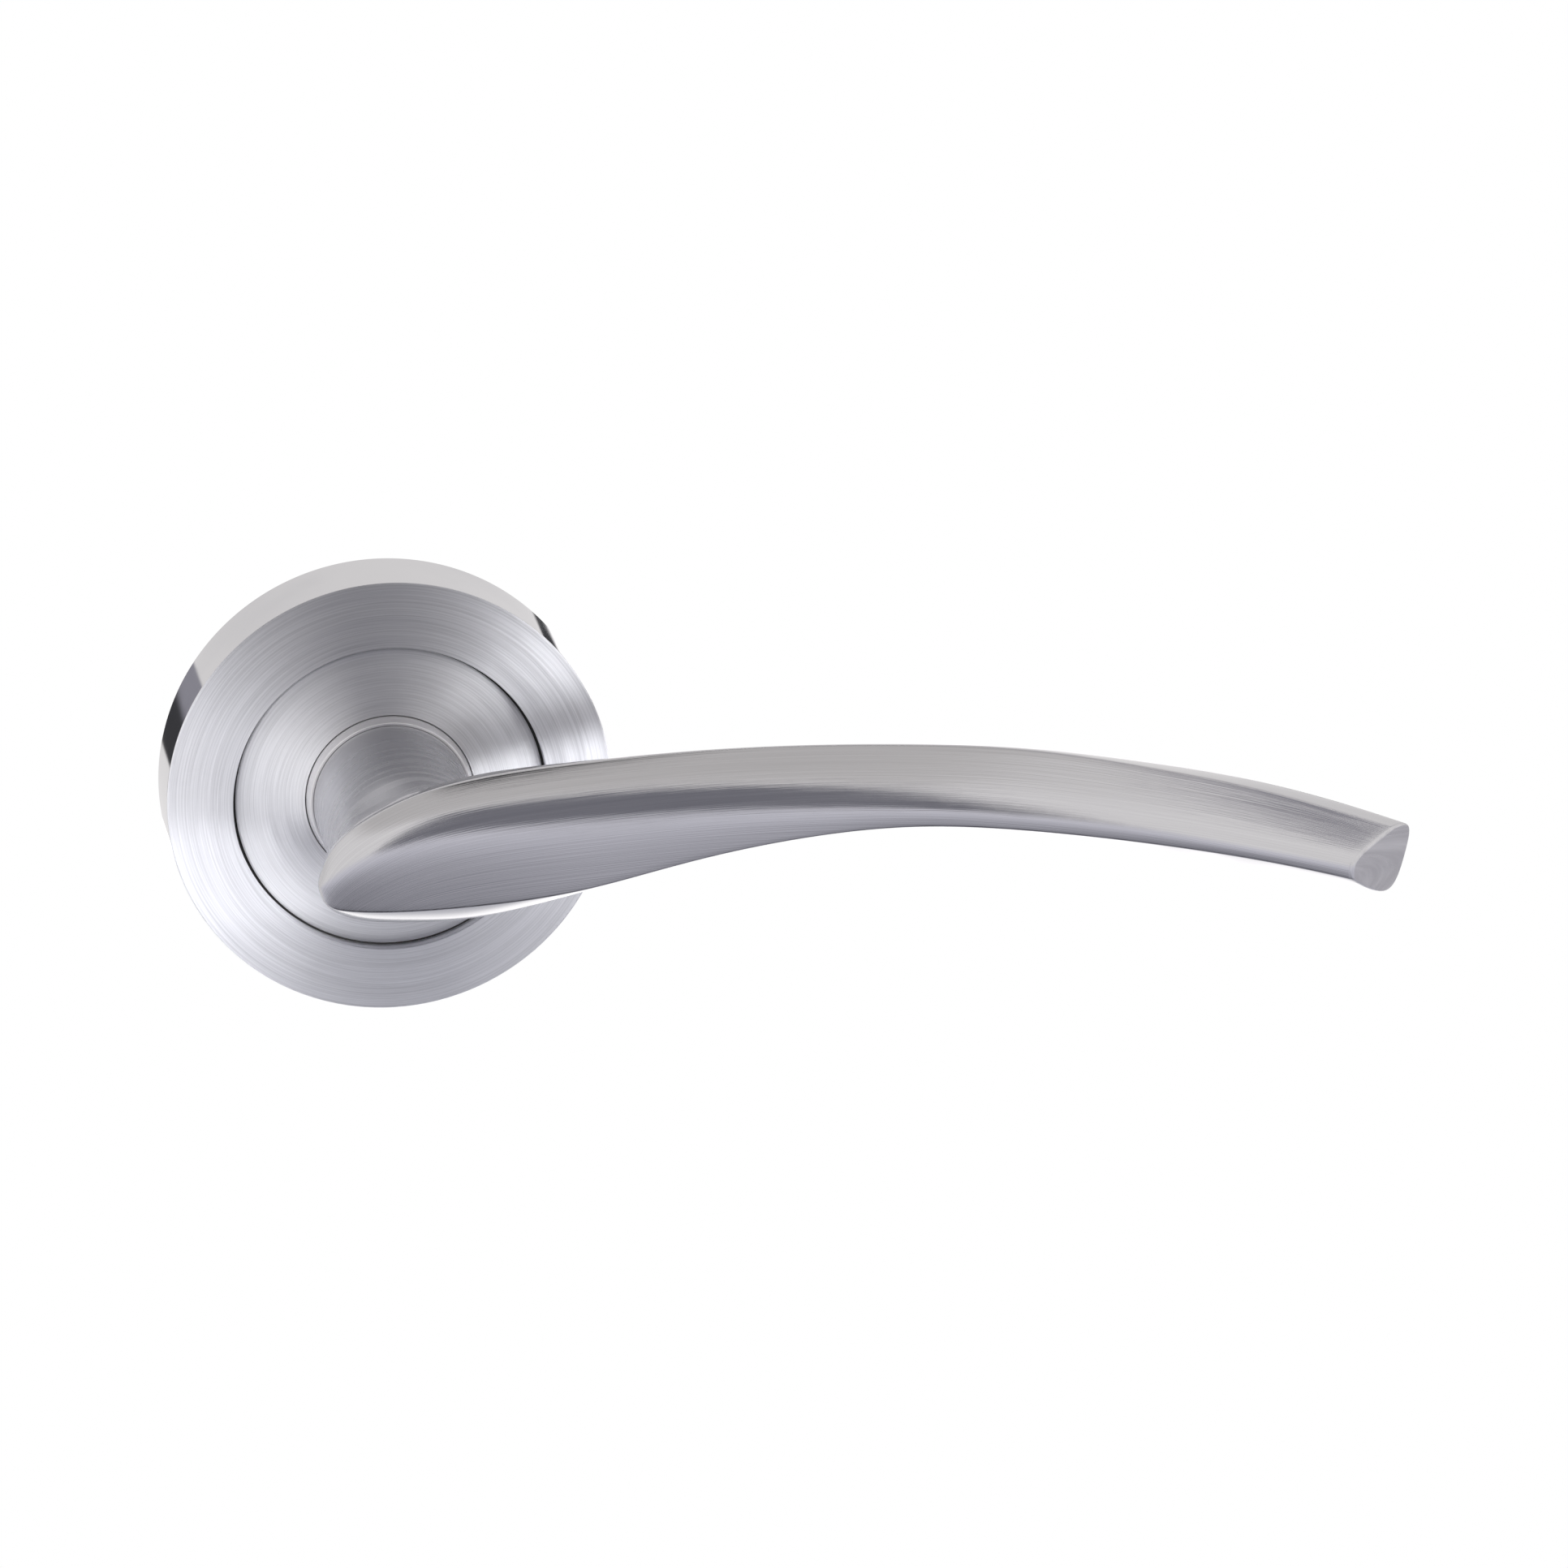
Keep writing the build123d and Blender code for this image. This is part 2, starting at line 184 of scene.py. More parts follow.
def flat_length(tree, a, b):
    """The length of a flat vector: the square root of a squared plus b squared."""
    squares = maths(tree, "MULTIPLY", a, a), maths(tree, "MULTIPLY", b, b)
    return maths(tree, "SQRT", maths(tree, "ADD", *squares))


def mix(tree, factor, first, second):
    """A colour that goes from first to second as the factor goes from 0 to 1."""
    inputs = {"Factor": factor, "A": first, "B": second}
    return node(tree, "ShaderNodeMix", inputs, data_type="RGBA").outputs["Result"]


def noise(tree, place, scale, detail):
    """Cloudy noise, even in all directions."""
    inputs = {"Vector": place, "Scale": scale, "Detail": detail}
    return node(tree, "ShaderNodeTexNoise", inputs).outputs[0]


def spread(tree, value, low, high, start=0.0, end=1.0):
    """Carries a value that runs from low to high smoothly over to start to end."""
    inputs = {0: value, 1: low, 2: high, 3: start, 4: end}
    return node(tree, "ShaderNodeMapRange", inputs, interpolation_type="SMOOTHSTEP").outputs[0]


def group(name, inputs, outputs):
    """Starts a shader node group: returns its tree, its input node and its output node."""
    tree = bpy.data.node_groups.new(name, "ShaderNodeTree")
    for socket, (kind, value) in inputs.items():
        made = tree.interface.new_socket(socket, in_out="INPUT", socket_type=kind)
        if value is not None:
            made.default_value = value
    for socket, kind in outputs.items():
        tree.interface.new_socket(socket, in_out="OUTPUT", socket_type=kind)
    return tree, tree.nodes.new("NodeGroupInput"), tree.nodes.new("NodeGroupOutput")


def build_brushing():
    """Brush lines: two noises, drawn out long in X and Z and squeezed fine in Y, which is
    across the brushing. Fine lines carry the grain, broad ones the passes of the wheel."""
    number = "NodeSocketFloat"
    tree, given, result = group(
        "brushing",
        {
            "Place": ("NodeSocketVector", None),
            "Lines per metre": (number, 4000.0),
            "Draw": (number, 60.0),
        },
        {"Lines": number, "Passes": number},
    )
    parts = split(tree, given.outputs["Place"])
    for name, share, detail in (("Lines", 1.0, 3.0), ("Passes", 0.12, 2.0)):
        count = maths(tree, "MULTIPLY", given.outputs["Lines per metre"], share)
        across = maths(tree, "MULTIPLY", parts[1], count)
        draw = maths(tree, "MULTIPLY", given.outputs["Draw"], 0.2 + 0.8 * share)
        along = maths(tree, "MULTIPLY", parts[0], draw)
        round_it = maths(tree, "MULTIPLY", parts[2], draw)
        place = node(tree, "ShaderNodeCombineXYZ", {0: along, 1: across, 2: round_it}).outputs[0]
        inputs = {"Vector": place, "Scale": 1.0, "Detail": detail, "Roughness": 0.6}
        grain = node(tree, "ShaderNodeTexNoise", inputs).outputs[0]
        tree.links.new(spread(tree, grain, 0.3, 0.7), result.inputs[name])
    return tree


def build_handling():
    """Marks of handling: a soft haze in patches, and a few pits finer than a millimetre."""
    number = "NodeSocketFloat"
    tree, given, result = group(
        "handling", {"Place": ("NodeSocketVector", None)}, {"Haze": number, "Pits": number}
    )
    haze = noise(tree, given.outputs[0], 55.0, 3.0)
    tree.links.new(spread(tree, haze, 0.35, 0.65), result.inputs["Haze"])
    cells = node(tree, "ShaderNodeTexVoronoi", {"Vector": given.outputs[0], "Scale": 190.0})
    near = spread(tree, cells.outputs["Distance"], 0.035, 0.05, 1.0, 0.0)
    chance = node(tree, "ShaderNodeSeparateColor", {0: cells.outputs["Color"]}).outputs[0]
    some = maths(tree, "GREATER_THAN", chance, 0.8)
    tree.links.new(maths(tree, "MULTIPLY", near, some), result.inputs["Pits"])
    return tree


BRUSHING = build_brushing()
HANDLING = build_handling()


def new_material(name):
    """An empty node material: returns it, its tree, and the Principled shader."""
    material = bpy.data.materials.new(name)
    material.use_nodes = True
    tree = material.node_tree
    tree.nodes.clear()
    shader = tree.nodes.new("ShaderNodeBsdfPrincipled")
    node(tree, "ShaderNodeOutputMaterial", {"Surface": shader.outputs[0]})
    return material, tree, shader


def raise_skin(tree, shader, height, strength, depth, invert=False):
    """Bump of the given depth in metres."""
    inputs = {"Height": height, "Strength": strength, "Distance": depth}
    bump = node(tree, "ShaderNodeBump", inputs, invert=invert)
    tree.links.new(bump.outputs[0], shader.inputs["Normal"])


def satin_chrome(name, place_of, tangent, lines, draw, dark, light, roughness, stretch):
    """Chrome over a brushed ground. Its lines come from the brushing group, whose place is
    made by place_of; the shine is drawn out across the lines."""
    material, tree, shader = new_material(name)
    objects = node(tree, "ShaderNodeTexCoord").outputs["Object"]
    inputs = {"Place": place_of(tree, objects), "Lines per metre": lines, "Draw": draw}
    brush = node(tree, "ShaderNodeGroup", inputs, node_tree=BRUSHING).outputs
    marks = node(tree, "ShaderNodeGroup", {"Place": objects}, node_tree=HANDLING).outputs
    fine = maths(tree, "MULTIPLY", brush["Lines"], 0.7)
    broad = maths(tree, "MULTIPLY", brush["Passes"], 0.3)
    grain = maths(tree, "ADD", fine, broad)
    tone = maths(tree, "SUBTRACT", grain, maths(tree, "MULTIPLY", marks["Pits"], 0.6))
    tree.links.new(mix(tree, tone, dark, light), shader.inputs["Base Color"])
    worn = spread(tree, brush["Passes"], 0, 1, roughness - 0.03, roughness + 0.04)
    rough = maths(tree, "ADD", worn, maths(tree, "MULTIPLY", marks["Haze"], 0.03))
    tree.links.new(rough, shader.inputs["Roughness"])
    shader.inputs["Metallic"].default_value = 1.0
    shader.inputs["Anisotropic"].default_value = stretch
    shader.inputs["Anisotropic Rotation"].default_value = 0.25
    tree.links.new(node(tree, "ShaderNodeTangent", **tangent).outputs[0], shader.inputs["Tangent"])
    height = maths(tree, "SUBTRACT", grain, maths(tree, "MULTIPLY", marks["Pits"], 2.0))
    raise_skin(tree, shader, height, 0.25, 0.00003)
    return material


def turned_place(tree, objects):
    """Where a point is on work brushed in a lathe: its direction from the axis, times 20 mm,
    in X and Z, and its distance out from the axis less its y in Y."""
    x, y, z = split(tree, objects)
    radius = flat_length(tree, x, z)
    inputs = {
        0: maths(tree, "MULTIPLY", maths(tree, "DIVIDE", x, radius), 0.02),
        1: maths(tree, "SUBTRACT", radius, y),
        2: maths(tree, "MULTIPLY", maths(tree, "DIVIDE", z, radius), 0.02),
    }
    return node(tree, "ShaderNodeCombineXYZ", inputs).outputs[0]


AROUND_Y = {"direction_type": "RADIAL", "axis": "Y"}
turned_chrome = satin_chrome(
    "turned_satin_chrome",
    turned_place,
    AROUND_Y,
    lines=6500.0,
    draw=55.0,
    dark=(0.56, 0.56, 0.585, 1),
    light=(0.77, 0.77, 0.80, 1),
    roughness=0.45,
    stretch=1.0,
)


def polished_chrome(name, roughness):
    """Bright chrome, with only a breath of haze and a few pits."""
    material, tree, shader = new_material(name)
    objects = node(tree, "ShaderNodeTexCoord").outputs["Object"]
    marks = node(tree, "ShaderNodeGroup", {"Place": objects}, node_tree=HANDLING).outputs
    colour = mix(tree, marks["Haze"], (0.66, 0.655, 0.66, 1), (0.61, 0.605, 0.615, 1))
    tree.links.new(colour, shader.inputs["Base Color"])
    rough = spread(tree, marks["Haze"], 0, 1, roughness, 1.8 * roughness)
    tree.links.new(rough, shader.inputs["Roughness"])
    shader.inputs["Metallic"].default_value = 1.0
    raise_skin(tree, shader, marks["Pits"], 0.3, 0.00003, invert=True)
    return material


rim_chrome = polished_chrome("polished_chrome", 0.035)


def crown(count):
    """The ring's face, a parabola that falls from its inner edge to its outer edge: it stands
    proud by the crown times 1 - bow a squared - (1 - bow) a, with a the share of the way."""
    inner, outer = RING_INNER_R + CROWN_INNER_INSET, ROSE_R - CROWN_OUTER_INSET
    across = np.linspace(0, 1, count)[1:-1]
    rise = ROSE_CROWN * (1 - across**2 * CROWN_BOW - across * (1 - CROWN_BOW))
    radius = inner + (outer - inner) * across
    return [(r, -ROSE_DEPTH - h, 0) for r, h in zip(radius, rise)]


cover_outline = rounded(
    [
        (ROSE_BACK_R, 0, 0.1),
        (COVER_BORE_R, 0, 0),
        (COVER_BORE_R, LEDGE_BACK_Y, 0),
        (LEDGE_R, LEDGE_BACK_Y, 0),
        (LEDGE_R, DISC_BACK_Y, 0),
        (RING_INNER_R, DISC_BACK_Y, 0),
        (RING_INNER_R, -ROSE_DEPTH - ROSE_CROWN, 0.1),
        *crown(24),
        (ROSE_R, -ROSE_DEPTH, 0.18),
    ]
)
rose_cover = lathe("rose_cover_finish", cover_outline)


def paint_rows(piece, outline, *rules):
    """Gives a lathed piece its materials: each rule is a material and a test of (radius, y)
    at the middle of an outline step, in millimetres, and a later rule overrides."""
    radius, y = ((outline + np.roll(outline, -1, 0)) / 2).T
    row = np.zeros(len(outline), np.int32)
    for number, (material, test) in enumerate(rules):
        piece.data.materials.append(material)
        row[test(radius, y)] = number
    piece.data.polygons.foreach_set("material_index", np.repeat(row, ROSE_SIDES))


def gap_painted_shade():
    """Painted shade for the gap round the disc and the walls inside the ring: brass coloured near
    black, as the gap looks in shade, dull and mottled at random.
    """
    material, tree, shader = new_material("gap_painted_shade")
    objects = node(tree, "ShaderNodeTexCoord").outputs["Object"]
    shade_mottle = noise(tree, objects, 400.0, 3.0)
    # Near-black tones that paint the shade in the gap, mottled at random.
    colour = mix(tree, shade_mottle, (0.012, 0.012, 0.013, 1), (0.045, 0.042, 0.038, 1))
    tree.links.new(colour, shader.inputs["Base Color"])
    tree.links.new(spread(tree, shade_mottle, 0.3, 0.7, 0.6, 0.8), shader.inputs["Roughness"])
    raise_skin(tree, shader, shade_mottle, 0.4, 0.00004)
    return material


gap_shade = gap_painted_shade()
# The gap round the disc and the walls inside the ring get the painted shade.
paint_rows(
    rose_cover,
    cover_outline,
    (turned_chrome, lambda r, y: r > 0),
    (rim_chrome, lambda r, y: (r > ROSE_R - 0.05) & (y > -ROSE_DEPTH + 0.1)),
    (gap_shade, lambda r, y: (r < ROSE_R - 0.5) & (y > -ROSE_DEPTH + 0.3)),
)
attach(rose_cover, "rose")
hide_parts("rose_cover")

# ---------------------------------------------------------------- rose disc
# A flat washer let into the ring with a hair gap round it. Pressed brass,
# brushed in circles, with a small chamfer.
DISC_R = 18.4
DISC_FRONT_Y = -9.65
COLLAR_R = 10.15

# The same satin chrome as the ring, with its base colour painted lighter so that the disc shows
# brighter: painted light.
disc_chrome = satin_chrome(
    "disc_satin_chrome",
    turned_place,
    AROUND_Y,
    lines=6500.0,
    draw=55.0,
    dark=(0.68, 0.68, 0.70, 1),
    light=(0.88, 0.88, 0.905, 1),
    roughness=0.45,
    stretch=1.0,
)
disc_outline = rounded(
    [
        (COLLAR_R, DISC_BACK_Y, 0),
        (DISC_R, DISC_BACK_Y, 0),
        (DISC_R, DISC_FRONT_Y + 0.2, 0.05),
        (DISC_R - 0.2, DISC_FRONT_Y, 0.07),
        (COLLAR_R, DISC_FRONT_Y - 0.1, 0),
    ]
)
rose_disc = lathe("rose_disc_finish", disc_outline)
# The disc's edge and back get the painted shade of the gap.
paint_rows(
    rose_disc,
    disc_outline,
    (disc_chrome, lambda r, y: r > 0),
    (gap_shade, lambda r, y: y > DISC_FRONT_Y + 0.25),
)
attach(rose_disc, "rose")
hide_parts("rose_disc")

# ---------------------------------------------------------------- neck collar
# The small flanged sleeve that closes the gap between the disc and the neck.
# Turned brass, its lip rolled over and softly polished.
COLLAR_BORE_R = 9.33
COLLAR_TIP_R = 9.65
COLLAR_FLANGE_R = 12
COLLAR_FOOT_Y = -9.4
COLLAR_FRONT_Y = -11.2

collar_outline = rounded(
    [
        (COLLAR_BORE_R, LEDGE_BACK_Y, 0),
        (COLLAR_FLANGE_R, LEDGE_BACK_Y, 0),
        (COLLAR_FLANGE_R, DISC_BACK_Y, 0),
        (COLLAR_R, DISC_BACK_Y, 0),
        (COLLAR_R, COLLAR_FOOT_Y, 0.1),
        (COLLAR_TIP_R, COLLAR_FRONT_Y, 0.12),
        (COLLAR_BORE_R, COLLAR_FRONT_Y, 0.05),
    ]
)
neck_collar = lathe("neck_collar_finish", collar_outline)
# Its base colour is painted lighter and warmer than the other chrome: a painted reflection of the
# ceiling.
collar_chrome = satin_chrome(
    "collar_satin_chrome",
    turned_place,
    AROUND_Y,
    lines=5000.0,
    draw=70.0,
    dark=(0.80, 0.795, 0.80, 1),
    light=(0.88, 0.87, 0.87, 1),
    roughness=0.3,
    stretch=0.7,
)
neck_collar.data.materials.append(collar_chrome)
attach(neck_collar, "rose")
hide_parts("neck_collar")

# ---------------------------------------------------------------- lever
# The lever: one zinc die casting, satin chrome plated. The arm is a long leaf
# with a soft ridge down its front, crisp edges, and walls and a back that are
# polished; the face is brushed lengthwise, and the far end is cut off
# slantwise. The neck is brushed round, and its hub goes through the rose.
# Stations along the arm, in millimetres: x; the top edge's y and z; the
# ridge's y and z; the bottom edge's y and z; the back's y; and the z to which
# the underside and the top wall would bulge.
LEVER_TIP = (-11.55, -36.1, -1.3)
LEVER_STATIONS = np.array(
    [
        (-11.4, -36.15, -0.55, -36.9, -1.3, -36.15, -2.2, -35.2, -2.6, -0.5),
        (-10.5, -36.5, 2.0, -38.2, 0.1, -36.4, -3.8, -33.0, -5.2, 1.0),
        (-8.5, -37.0, 4.7, -39.6, 2.1, -36.5, -4.6, -29.5, -8.6, 2.9),
        (-5.0, -37.4, 7.2, -40.8, 4.4, -36.7, -4.9, -27.0, -11.2, 4.9),
        (0.0, -37.5, 9.4, -41.5, 6.2, -36.8, -5.0, -26.2, -12.3, 7.0),
        (8.0, -37.5, 11.15, -42.0, 7.4, -37.2, -4.6, -26.5, -12.2, 9.0),
        (20.0, -37.5, 12.25, -42.0, 8.1, -38.0, -3.0, -28.8, -7.4, 10.1),
        (32.0, -37.5, 12.8, -42.0, 8.2, -39.0, -0.05, -30.3, -2.4, 10.5),
        (45.0, -37.5, 12.75, -42.0, 7.7, -40.0, 2.3, -31.0, 1.0, 10.4),
        (58.0, -37.5, 12.1, -42.0, 6.5, -40.5, 3.0, -30.5, 0.5, 10.1),
        (72.0, -37.3, 10.55, -41.5, 4.4, -40.2, 1.5, -29.5, -2.6, 9.2),
        (86.0, -36.3, 7.35, -40.5, 1.4, -39.2, -1.2, -28.6, -6.2, 7.0),
        (100.0, -34.5, 3.2, -38.7, -2.6, -37.5, -4.75, -27.8, -9.8, 3.9),
        (112.0, -32.5, -1.4, -36.7, -6.2, -35.5, -8.6, -28.2, -12.8, 0.2),
        (124.0, -30.2, -6.4, -34.4, -10.9, -33.2, -13.0, -28.6, -16.2, -4.6),
    ]
)
RIDGE_WEIGHT = 2.2
WALL_WEIGHT = 1.4
EDGE_ROUNDING = 0.25
END_POINT = np.array([117.2, -31.6, -3.0])
END_NORMAL = np.array([0.65, -0.74, -0.17])
END_ROUNDING = 0.35
ARM_ROWS = 220
FACE_COLUMNS = 48
WALL_COLUMNS = 20


def cubic_spline(knots, values, at):
    """The natural cubic spline through values at knots: its second derivatives solve the
    usual three-band equations, and are zero at both ends."""
    gap = np.diff(knots)
    bands = np.diag(np.r_[1, 2 * (gap[:-1] + gap[1:]), 1])
    bands += np.diag(np.r_[gap[:-1], 0], -1) + np.diag(np.r_[0, gap[1:]], 1)
    slope = np.diff(values, axis=0) / gap[:, None]
    ends = np.zeros((1, values.shape[1]))
    bend = np.linalg.solve(bands, np.vstack([ends, 6 * np.diff(slope, axis=0), ends]))
    span = np.clip(np.searchsorted(knots, at, side="right") - 1, 0, len(gap) - 1)
    t = (at - knots[span])[..., None]
    width = gap[span][..., None]
    start = slope[span] - width * (2 * bend[span] + bend[span + 1]) / 6
    change = (bend[span + 1] - bend[span]) / (6 * width)
    return values[span] + t * (start + t * (bend[span] / 2 + t * change))


def weighted_arc(a, b, c, weight, t):
    """A rational quadratic from a to c that is drawn towards b: the weights are
    (1-t) squared, 2 weight t (1-t), and t squared, divided by their sum."""
    t = t[..., None]
    shares = (1 - t) ** 2, 2 * weight * t * (1 - t), t**2
    a, b, c = a[..., None, :], b[..., None, :], c[..., None, :]
    return (shares[0] * a + shares[1] * b + shares[2] * c) / (shares[0] + shares[1] + shares[2])


def arm_sections(x):
    """The arm's cross-section at each x, as (y, z) points: down the face from the top edge
    to the bottom edge, back along the underside, up the top wall, and so round again. The
    stations are splined over the square root of the distance from the tip, which makes the
    nose round, and both edges are rounded by small quadratic Bezier arcs."""
    tip_row = [LEVER_TIP[1], LEVER_TIP[2]] * 3 + [LEVER_TIP[1], LEVER_TIP[2], LEVER_TIP[2]]
    knots = np.sqrt(np.r_[0, LEVER_STATIONS[:, 0] - LEVER_TIP[0]])
    values = np.vstack([tip_row, LEVER_STATIONS[:, 1:]])
    column = cubic_spline(knots, values, np.sqrt(x - LEVER_TIP[0]))
    top, ridge, bottom = column[..., 0:2], column[..., 2:4], column[..., 4:6]
    under, over = column[..., [6, 7]], column[..., [6, 8]]
    back = (under + over) / 2
    rounding = np.minimum(EDGE_ROUNDING, 0.08 * np.linalg.norm(top - bottom, axis=-1))

    def inset(corner, towards, weight):
        pull = 2 * weight * np.linalg.norm(towards - corner, axis=-1)
        return np.clip(rounding / np.maximum(pull, 1e-6), 0, 0.2)[..., None]

    face_steps, wall_steps = np.linspace(0, 1, FACE_COLUMNS), np.linspace(0, 1, WALL_COLUMNS)
    face_in, face_out = inset(top, ridge, RIDGE_WEIGHT), inset(bottom, ridge, RIDGE_WEIGHT)
    face_share = face_in + (1 - face_in - face_out) * face_steps
    face = weighted_arc(top, ridge, bottom, RIDGE_WEIGHT, face_share)
    under_in = inset(bottom, under, WALL_WEIGHT)
    under_share = under_in + (1 - under_in) * wall_steps
    underside = weighted_arc(bottom, under, back, WALL_WEIGHT, under_share)
    over_in = inset(top, over, WALL_WEIGHT)
    top_wall = weighted_arc(back, over, top, WALL_WEIGHT, (1 - over_in) * wall_steps[1:])
    step = np.array([0.25, 0.5, 0.75])[:, None]

    def turn(a, corner, c):
        a, corner, c = a[..., None, :], corner[..., None, :], c[..., None, :]
        return (1 - step) ** 2 * a + 2 * step * (1 - step) * corner + step**2 * c

    return np.concatenate(
        [
            face,
            turn(face[..., -1, :], bottom, underside[..., 0, :]),
            underside,
            top_wall,
            turn(top_wall[..., -1, :], top, face[..., 0, :]),
        ],
        -2,
    )


def along_lines(x):
    """Points of the arm where x is given for each line of points that runs along it."""
    column = np.arange(x.shape[-1])
    yz = arm_sections(x)[..., column, column, :]
    return np.concatenate([x[..., None], yz], -1)


def end_of_lines(count, setback):
    """The x at which each line meets the end plane, moved back by setback: Newton's method
    on the distance from the plane."""
    normal = END_NORMAL / np.linalg.norm(END_NORMAL)
    x = np.full(count, END_POINT[0])
    for _ in range(10):
        distance = (along_lines(x) - END_POINT) @ normal + setback
        ahead = (along_lines(x + 0.01) - END_POINT) @ normal + setback
        x = x - 0.01 * distance / (ahead - distance)
    return x


def arm_grid():
    """Rows of points from the nose to the slanted end. A row's place goes as the share of
    the length to the power 1.9, which crowds rows at the nose; at the end the rows turn
    over a rounded rim, a quadratic Bezier arc, and close in to the middle of the flat."""
    count = FACE_COLUMNS + 2 * WALL_COLUMNS - 1 + 6
    near_end = end_of_lines(count, END_ROUNDING)
    share = np.linspace(0, 1, ARM_ROWS)[1:, None] ** 1.9
    rows = along_lines(LEVER_TIP[0] + (near_end - LEVER_TIP[0]) * share)
    rim = along_lines(end_of_lines(count, 0))
    middle = rim.mean(0)
    flat = rim + (middle - rim) * END_ROUNDING / np.linalg.norm(rim - middle, axis=1)[:, None]
    step = np.linspace(0, 1, 6)[1:, None, None]
    arc = (1 - step) ** 2 * rows[-1] + 2 * step * (1 - step) * rim + step**2 * flat
    inward = np.linspace(0, 1, 14)[1:-1, None, None]
    cap = flat + (middle - flat) * inward
    return np.concatenate([rows, arc, cap]), middle


def build_arm():
    """The arm as one closed shell, with the length along it and the length round it as its
    map, and its walls and back marked for the polished finish."""
    grid, middle = arm_grid()
    rows, columns = grid.shape[:2]
    points = np.concatenate([grid.reshape(-1, 3), [LEVER_TIP], [middle]]) * MM
    arm = link_mesh("lever_arm", points, capped_tube(rows, columns))

    ahead = np.roll(grid, -1, 1)
    round_it = np.cumsum(np.linalg.norm(ahead - grid, axis=-1), 1)
    round_it = np.hstack([np.zeros((rows, 1)), round_it])[:, :columns]
    lengthwise = np.repeat(grid[:, :1, 0], columns, 1)
    is_cap = np.arange(rows)[:, None] >= ARM_ROWS - 1
    bowed = 0.05 * (grid[..., 2] - middle[2]) ** 2
    along = np.where(is_cap, grid[..., 2], lengthwise)
    across = np.where(is_cap, grid[..., 0] - grid[..., 1] + bowed, round_it)
    flat_map = np.stack([along, across], -1).reshape(-1, 2)
    poles = [[LEVER_TIP[0], 0], [middle[2], middle[0] - middle[1]]]
    flat_map = (np.concatenate([flat_map, poles]) * MM).astype(np.float32)
    corners = np.empty(len(arm.data.loops), np.int32)
    arm.data.loops.foreach_get("vertex_index", corners)
    arm.data.uv_layers.new(name="brush").uv.foreach_set("vector", flat_map[corners].ravel())

    column = np.arange(columns)
    is_wall = (column > FACE_COLUMNS + 1) & (column < columns - 3)
    finish = np.zeros((rows - 1, columns), np.int32)
    finish[: ARM_ROWS - 2] = is_wall
    finish[ARM_ROWS:] = 2
    nose, tail = np.zeros(columns, np.int32), np.full(columns, 2, np.int32)
    whole = np.concatenate([finish.ravel(), nose, tail])
    arm.data.polygons.foreach_set("material_index", whole)
    return arm


def mapped_place(tree, objects):
    """A point's place on its brush map: along the brushing in X, across it in Y."""
    return node(tree, "ShaderNodeUVMap", uv_map="brush").outputs[0]


ALONG_MAP = {"direction_type": "UV_MAP", "uv_map": "brush"}
arm_chrome = satin_chrome(
    "arm_satin_chrome",
    mapped_place,
    ALONG_MAP,
    lines=7000.0,
    draw=35.0,
    dark=(0.57, 0.565, 0.575, 1),
    light=(0.63, 0.625, 0.635, 1),
    roughness=0.12,
    stretch=0.5,
)
end_chrome = satin_chrome(
    "end_satin_chrome",
    mapped_place,
    ALONG_MAP,
    lines=3000.0,
    draw=150.0,
    dark=(0.50, 0.495, 0.51, 1),
    light=(0.69, 0.685, 0.70, 1),
    roughness=0.26,
    stretch=0.6,
)
wall_chrome = polished_chrome("wall_polished_chrome", 0.12)

lever_arm = build_arm()
for finish in (arm_chrome, wall_chrome, end_chrome):
    lever_arm.data.materials.append(finish)

NECK_R = 9.3
SHOULDER_Y = -8.65
NECK_TOP_Y = -36.3
NECK_END_ROUNDING = 0.4
PINCH = 0.85
PINCH_FROM_Y = -28.0
PINCH_CENTRE = math.radians(117)
PINCH_REACH = math.radians(38)
NECK_UNDERSIDE_Y = -27.5
NECK_SLOPE = math.tan(math.radians(29.5))
HUB_R = 7.0
HUB_FLATS = 12.0
FLATS_FROM_Y = -6.9
HUB_END_Y = 0.6
CLIP_GROOVE_R = 6.4
CLIP_GROOVE_Y = (-1.0, -0.1)
SOCKET_ACROSS = 8.1
SOCKET_BOTTOM_Y = -24.0
GRUB_Y = -17.0
GRUB_HOLE_R = 2.5
DRILL_SIDES = 96


